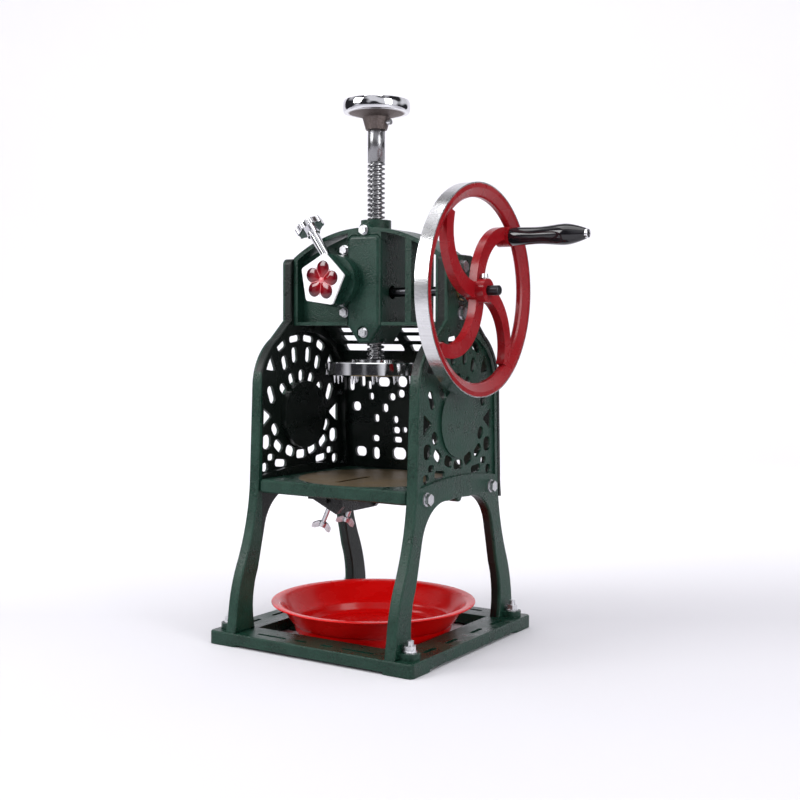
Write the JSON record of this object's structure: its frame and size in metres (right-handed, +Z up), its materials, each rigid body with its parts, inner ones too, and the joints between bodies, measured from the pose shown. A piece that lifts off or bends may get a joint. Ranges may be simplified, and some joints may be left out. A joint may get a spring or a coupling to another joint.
{
  "type": "hand-cranked block ice shaver",
  "caption": "Cast-framed hand-cranked ice shaver with flywheel, bevel drive, screw spindle, spiked ice disc, blade deck and drip tray.",
  "frame": {"origin": "on the floor, at the centre of the square base, straight below the spindle", "axes": "+Z up along the spindle, -Y towards the open front with the gear cover, +X towards the flywheel"},
  "size_m": [0.4233, 0.31, 0.705],
  "materials": {
    "green_paint": "textured cast iron under glossy deep green enamel",
    "dark_green_paint": "dark green enamel on thin cast panel",
    "red_paint": "glossy red enamel, rim band ground bright",
    "zinc": "zinc plated fasteners",
    "chrome": "polished chrome plating",
    "bright_steel": "turned bright steel",
    "dark_steel": "dark oiled steel",
    "tool_steel": "ground tool steel",
    "black_iron": "black painted iron",
    "cast_gear": "greased cast gears",
    "brass_bush": "plain bearing bronze",
    "bronze_plate": "brown gold ground plate",
    "white_enamel": "glossy white enamel",
    "deep_red_enamel": "glossy deep red enamel",
    "black_gloss": "black gloss moulded grip",
    "red_plastic": "glossy red moulded tray"
  },
  "bodies": {
    "frame": {"base_plate": "green_paint", "left_side_frame": "green_paint", "right_side_frame": "green_paint", "back_panel": "dark_green_paint", "back_panel_screws": "zinc", "deck_plate": "green_paint", "blade_disc": "bronze_plate", "deck_bolts": "zinc", "deck_washers": "zinc", "neck_bolts": "zinc", "neck_washers": "zinc", "foot_bolts": "zinc", "foot_washers": "zinc", "foot_nuts": "zinc", "blade_holder": "black_iron", "holder_bolts": "zinc", "head_housing": "green_paint", "gear_cover": "green_paint", "cover_screws": "zinc", "cover_washers": "zinc", "feed_housing": "green_paint", "feed_screws": "zinc", "feed_washers": "zinc", "badge_plate": "white_enamel", "blossom_petals": "deep_red_enamel", "gear_bush": "brass_bush", "thrust_washer": "brass_bush", "crank_bushes": "brass_bush"},
    "shaving_blade": {"blade": "tool_steel"},
    "front_wing": {"front_wing_bolt": "zinc"},
    "rear_wing": {"rear_wing_bolt": "zinc"},
    "feed_control": {"feed_knob": "chrome", "feed_plunger": "chrome"},
    "drive_gear": {"bevel_gear": "cast_gear", "drive_key": "tool_steel"},
    "nut": {"feed_nut": "brass_bush"},
    "spindle": {"spindle_screw": "bright_steel", "handwheel": "chrome", "handwheel_set_screw": "bright_steel", "ice_disc": "chrome", "ice_spikes": "bright_steel"},
    "crank": {"crank_shaft": "dark_steel", "bevel_pinion": "cast_gear", "shaft_collar": "bright_steel", "flywheel": "red_paint", "flywheel_set_screw": "dark_steel", "handle_stud": "bright_steel", "handle_back_nut": "zinc", "handle_end_nut": "chrome"},
    "grip": {"handle_grip": "black_gloss"},
    "tray": {"drip_tray": "red_plastic"}
  },
  "joints": [
    {"name": "crank_turn", "type": "hinge", "parent": "frame", "child": "crank", "pos_m": [0.135, 0, 0.456], "axis": [1, 0, 0], "continuous": true},
    {"name": "grip_turn", "type": "hinge", "parent": "crank", "child": "grip", "pos_m": [0.2, 0.07616, 0.52828], "axis": [1, 0, 0], "continuous": true},
    {"name": "gear_turn", "type": "hinge", "parent": "frame", "child": "drive_gear", "pos_m": [0, 0, 0.42], "axis": [0, 0, 1], "continuous": true},
    {"name": "spindle_feed", "type": "slide", "parent": "drive_gear", "child": "spindle", "axis": [0, 0, 1], "range_m": [-0.117, 0.021]},
    {"name": "nut_turn", "type": "hinge", "parent": "drive_gear", "child": "nut", "pos_m": [0, 0, 0.49], "axis": [0, 0, 1], "range_deg": [-1260, 6840]},
    {"name": "knob_pull", "type": "slide", "parent": "frame", "child": "feed_control", "axis": [-0.5736, 0, 0.8191], "range_m": [0, 0.006]},
    {"name": "blade_adjust", "type": "slide", "parent": "frame", "child": "shaving_blade", "axis": [0.866, 0, 0.5], "range_m": [-0.002, 0.0004]},
    {"name": "front_wing_turn", "type": "hinge", "parent": "frame", "child": "front_wing", "pos_m": [-0.028, -0.062, 0.18147], "axis": [-0.4226, 0, -0.9063], "range_deg": [-720, 0]},
    {"name": "rear_wing_turn", "type": "hinge", "parent": "frame", "child": "rear_wing", "pos_m": [-0.028, -0.008, 0.18147], "axis": [-0.4226, 0, -0.9063], "range_deg": [-720, 0]},
    {"name": "tray_lift", "type": "slide", "parent": "frame", "child": "tray", "axis": [0, 0, 1], "range_m": [0, 0.085]}
  ],
  "couplings": [
    {"joint": "gear_turn", "follows": "crank_turn", "ratio": 0.5},
    {"joint": "nut_turn", "follows": "spindle_feed", "rad_per_m": -997.33}
  ]
}
